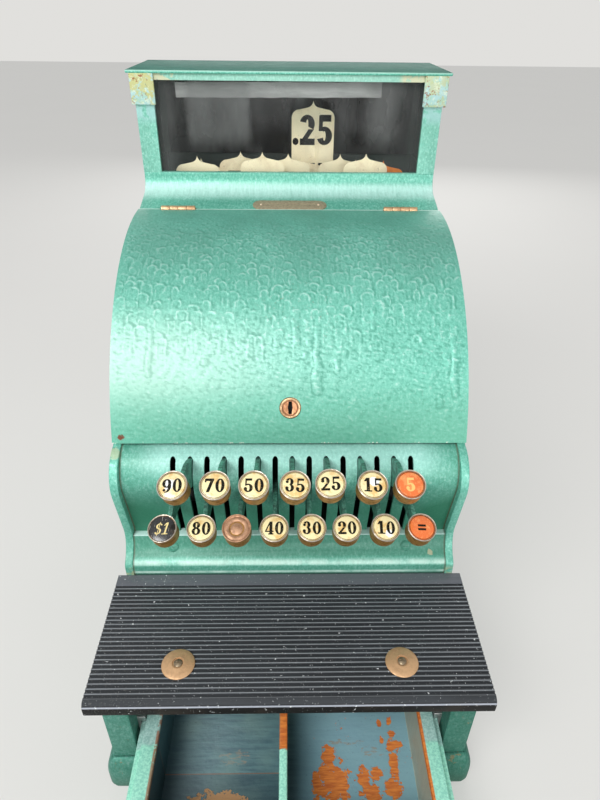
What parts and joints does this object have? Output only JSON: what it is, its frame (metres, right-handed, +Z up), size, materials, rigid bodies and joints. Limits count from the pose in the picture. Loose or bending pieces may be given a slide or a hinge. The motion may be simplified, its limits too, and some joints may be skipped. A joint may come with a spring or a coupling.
{
  "type": "ticket register",
  "caption": "Press-key ticket register: domed cabinet with a hinged, locked hood, round keys that raise indicator tabs behind glass, a ribbed shelf and a till drawer.",
  "frame": {"origin": "centre of the base's underside", "axes": "+X to the operator's right, +Y to the rear, +Z up"},
  "size_m": [0.272, 0.5645, 0.4494],
  "materials": {
    "enamel": "sea-green metallic hammertone enamel with run marks",
    "base_enamel": "the same green enamel on a wooden base",
    "worn_enamel": "sea-green enamel worn through to pale blue and rust",
    "dark_enamel": "green enamel in the shade, dusty",
    "shelf_black": "satin black, ribbed",
    "aged_brass": "aged, dull brass",
    "steel": "bare steel",
    "pane": "clear pane, a little hazed",
    "drawer_paint": "teal paint on wood, worn to the orange wood",
    "key_cream": "cream key faces in brass cups with nickel rims",
    "key_black": "black key face in a brass cup with a nickel rim",
    "key_orange": "orange key face in a brass cup with a nickel rim",
    "key_brass": "bare cup, its face missing",
    "tab_cream": "cream enamelled sheet",
    "tab_orange": "orange enamelled sheet"
  },
  "bodies": {
    "cabinet": {"base_floor": "dark_enamel", "base_walls": "base_enamel", "foot_moulding": "base_enamel", "drawer_runners": "steel", "shelf_plate": "shelf_black", "shelf_medallions": "aged_brass", "panel_screws": "aged_brass", "left_cheek": "enamel", "right_cheek": "enamel", "cabinet_floor": "dark_enamel", "back_panel": "enamel", "key_panel": "enamel", "lower_strip": "enamel", "neck": "enamel", "window_frame": "enamel", "corner_caps": "worn_enamel", "top_cover": "enamel", "window_glass": "pane", "nameplate": "aged_brass", "fixed_hinge_leaves": "aged_brass", "key_shaft": "steel", "indicator_guides": "steel", "bell": "aged_brass"},
    "hood": {"lid": "enamel", "lid_hinge_leaves": "aged_brass", "lock_barrel": "aged_brass"},
    "lock": {"lock_plug": "aged_brass"},
    "drawer": {"drawer_box": "drawer_paint", "drawer_front": "base_enamel", "coin_tray": "drawer_paint"},
    "key_dollar": {"key_dollar": "key_black"},
    "key_90": {"key_90": "key_cream"},
    "key_80": {"key_80": "key_cream"},
    "key_70": {"key_70": "key_cream"},
    "key_60": {"key_60": "key_brass"},
    "key_50": {"key_50": "key_cream"},
    "key_40": {"key_40": "key_cream"},
    "key_35": {"key_35": "key_cream"},
    "key_30": {"key_30": "key_cream"},
    "key_25": {"key_25": "key_cream"},
    "key_20": {"key_20": "key_cream"},
    "key_15": {"key_15": "key_cream"},
    "key_10": {"key_10": "key_cream"},
    "key_5": {"key_5": "key_orange"},
    "key_no_sale": {"key_no_sale": "key_orange"},
    "tab_dollar": {"tab_dollar": "tab_cream"},
    "tab_90": {"tab_90": "tab_cream"},
    "tab_80": {"tab_80": "tab_cream"},
    "tab_70": {"tab_70": "tab_cream"},
    "tab_60": {"tab_60": "tab_cream"},
    "tab_50": {"tab_50": "tab_cream"},
    "tab_40": {"tab_40": "tab_cream"},
    "tab_35": {"tab_35": "tab_cream"},
    "tab_30": {"tab_30": "tab_cream"},
    "tab_25": {"tab_25": "tab_cream"},
    "tab_20": {"tab_20": "tab_cream"},
    "tab_15": {"tab_15": "tab_cream"},
    "tab_10": {"tab_10": "tab_cream"},
    "tab_5": {"tab_5": "tab_cream"},
    "tab_no_sale": {"tab_no_sale": "tab_orange"}
  },
  "joints": [
    {"name": "hood_hinge", "type": "hinge", "parent": "cabinet", "child": "hood", "pos_m": [0, 0.08085, 0.3492], "axis": [-1, 0, 0], "range_deg": [0, 105]},
    {"name": "lock_turn", "type": "hinge", "parent": "hood", "child": "lock", "pos_m": [0, -0.08008, 0.25604], "axis": [0, 0.8888, -0.4582], "range_deg": [0, 90]},
    {"name": "drawer_slide", "type": "slide", "parent": "cabinet", "child": "drawer", "axis": [0, 1, 0], "range_m": [0, 0.13]},
    {"name": "key_dollar_press", "type": "hinge", "parent": "cabinet", "child": "key_dollar", "pos_m": [0, -0.06475, 0.164], "axis": [1, 0, 0], "range_deg": [0, 10], "stiffness_Nm_per_rad": 0.6, "springref_deg": -17.19},
    {"name": "key_90_press", "type": "hinge", "parent": "cabinet", "child": "key_90", "pos_m": [0, -0.06475, 0.164], "axis": [1, 0, 0], "range_deg": [0, 10], "stiffness_Nm_per_rad": 0.6, "springref_deg": -17.19},
    {"name": "key_80_press", "type": "hinge", "parent": "cabinet", "child": "key_80", "pos_m": [0, -0.06475, 0.164], "axis": [1, 0, 0], "range_deg": [0, 10], "stiffness_Nm_per_rad": 0.6, "springref_deg": -17.19},
    {"name": "key_70_press", "type": "hinge", "parent": "cabinet", "child": "key_70", "pos_m": [0, -0.06475, 0.164], "axis": [1, 0, 0], "range_deg": [0, 10], "stiffness_Nm_per_rad": 0.6, "springref_deg": -17.19},
    {"name": "key_60_press", "type": "hinge", "parent": "cabinet", "child": "key_60", "pos_m": [0, -0.06475, 0.164], "axis": [1, 0, 0], "range_deg": [0, 10], "stiffness_Nm_per_rad": 0.6, "springref_deg": -17.19},
    {"name": "key_50_press", "type": "hinge", "parent": "cabinet", "child": "key_50", "pos_m": [0, -0.06475, 0.164], "axis": [1, 0, 0], "range_deg": [0, 10], "stiffness_Nm_per_rad": 0.6, "springref_deg": -17.19},
    {"name": "key_40_press", "type": "hinge", "parent": "cabinet", "child": "key_40", "pos_m": [0, -0.06475, 0.164], "axis": [1, 0, 0], "range_deg": [0, 10], "stiffness_Nm_per_rad": 0.6, "springref_deg": -17.19},
    {"name": "key_35_press", "type": "hinge", "parent": "cabinet", "child": "key_35", "pos_m": [0, -0.06475, 0.164], "axis": [1, 0, 0], "range_deg": [0, 10], "stiffness_Nm_per_rad": 0.6, "springref_deg": -17.19},
    {"name": "key_30_press", "type": "hinge", "parent": "cabinet", "child": "key_30", "pos_m": [0, -0.06475, 0.164], "axis": [1, 0, 0], "range_deg": [0, 10], "stiffness_Nm_per_rad": 0.6, "springref_deg": -17.19},
    {"name": "key_25_press", "type": "hinge", "parent": "cabinet", "child": "key_25", "pos_m": [0, -0.06475, 0.164], "axis": [1, 0, 0], "range_deg": [0, 10], "stiffness_Nm_per_rad": 0.6, "springref_deg": -17.19},
    {"name": "key_20_press", "type": "hinge", "parent": "cabinet", "child": "key_20", "pos_m": [0, -0.06475, 0.164], "axis": [1, 0, 0], "range_deg": [0, 10], "stiffness_Nm_per_rad": 0.6, "springref_deg": -17.19},
    {"name": "key_15_press", "type": "hinge", "parent": "cabinet", "child": "key_15", "pos_m": [0, -0.06475, 0.164], "axis": [1, 0, 0], "range_deg": [0, 10], "stiffness_Nm_per_rad": 0.6, "springref_deg": -17.19},
    {"name": "key_10_press", "type": "hinge", "parent": "cabinet", "child": "key_10", "pos_m": [0, -0.06475, 0.164], "axis": [1, 0, 0], "range_deg": [0, 10], "stiffness_Nm_per_rad": 0.6, "springref_deg": -17.19},
    {"name": "key_5_press", "type": "hinge", "parent": "cabinet", "child": "key_5", "pos_m": [0, -0.06475, 0.164], "axis": [1, 0, 0], "range_deg": [0, 10], "stiffness_Nm_per_rad": 0.6, "springref_deg": -17.19},
    {"name": "key_no_sale_press", "type": "hinge", "parent": "cabinet", "child": "key_no_sale", "pos_m": [0, -0.06475, 0.164], "axis": [1, 0, 0], "range_deg": [0, 10], "stiffness_Nm_per_rad": 0.6, "springref_deg": -17.19},
    {"name": "tab_dollar_lift", "type": "slide", "parent": "cabinet", "child": "tab_dollar", "axis": [0, 0, 1], "range_m": [0, 0.03501]},
    {"name": "tab_90_lift", "type": "slide", "parent": "cabinet", "child": "tab_90", "axis": [0, 0, 1], "range_m": [0, 0.03924]},
    {"name": "tab_80_lift", "type": "slide", "parent": "cabinet", "child": "tab_80", "axis": [0, 0, 1], "range_m": [0, 0.04136]},
    {"name": "tab_70_lift", "type": "slide", "parent": "cabinet", "child": "tab_70", "axis": [0, 0, 1], "range_m": [0, 0.03713]},
    {"name": "tab_60_lift", "type": "slide", "parent": "cabinet", "child": "tab_60", "axis": [0, 0, 1], "range_m": [0, 0.04348]},
    {"name": "tab_50_lift", "type": "slide", "parent": "cabinet", "child": "tab_50", "axis": [0, 0, 1], "range_m": [0, 0.03501]},
    {"name": "tab_40_lift", "type": "slide", "parent": "cabinet", "child": "tab_40", "axis": [0, 0, 1], "range_m": [0, 0.03924]},
    {"name": "tab_35_lift", "type": "slide", "parent": "cabinet", "child": "tab_35", "axis": [0, 0, 1], "range_m": [0, 0.03713]},
    {"name": "tab_30_lift", "type": "slide", "parent": "cabinet", "child": "tab_30", "axis": [0, 0, 1], "range_m": [0, 0.03924]},
    {"name": "tab_25_lift", "type": "slide", "parent": "cabinet", "child": "tab_25", "axis": [0, 0, 1], "range_m": [-0.04126, 0]},
    {"name": "tab_20_lift", "type": "slide", "parent": "cabinet", "child": "tab_20", "axis": [0, 0, 1], "range_m": [0, 0.04348]},
    {"name": "tab_15_lift", "type": "slide", "parent": "cabinet", "child": "tab_15", "axis": [0, 0, 1], "range_m": [0, 0.03713]},
    {"name": "tab_10_lift", "type": "slide", "parent": "cabinet", "child": "tab_10", "axis": [0, 0, 1], "range_m": [0, 0.03501]},
    {"name": "tab_5_lift", "type": "slide", "parent": "cabinet", "child": "tab_5", "axis": [0, 0, 1], "range_m": [0, 0.03924]},
    {"name": "tab_no_sale_lift", "type": "slide", "parent": "cabinet", "child": "tab_no_sale", "axis": [0, 0, 1], "range_m": [0, 0.03713]}
  ],
  "couplings": [
    {"joint": "tab_dollar_lift", "follows": "key_dollar_press", "m_per_rad": 0.20003},
    {"joint": "tab_90_lift", "follows": "key_90_press", "m_per_rad": 0.22428},
    {"joint": "tab_80_lift", "follows": "key_80_press", "m_per_rad": 0.23641},
    {"joint": "tab_70_lift", "follows": "key_70_press", "m_per_rad": 0.21216},
    {"joint": "tab_60_lift", "follows": "key_60_press", "m_per_rad": 0.24853},
    {"joint": "tab_50_lift", "follows": "key_50_press", "m_per_rad": 0.20003},
    {"joint": "tab_40_lift", "follows": "key_40_press", "m_per_rad": 0.22428},
    {"joint": "tab_35_lift", "follows": "key_35_press", "m_per_rad": 0.21216},
    {"joint": "tab_30_lift", "follows": "key_30_press", "m_per_rad": 0.22428},
    {"joint": "tab_20_lift", "follows": "key_20_press", "m_per_rad": 0.24853},
    {"joint": "tab_15_lift", "follows": "key_15_press", "m_per_rad": 0.21216},
    {"joint": "tab_10_lift", "follows": "key_10_press", "m_per_rad": 0.20003},
    {"joint": "tab_5_lift", "follows": "key_5_press", "m_per_rad": 0.22428},
    {"joint": "tab_no_sale_lift", "follows": "key_no_sale_press", "m_per_rad": 0.21216}
  ]
}
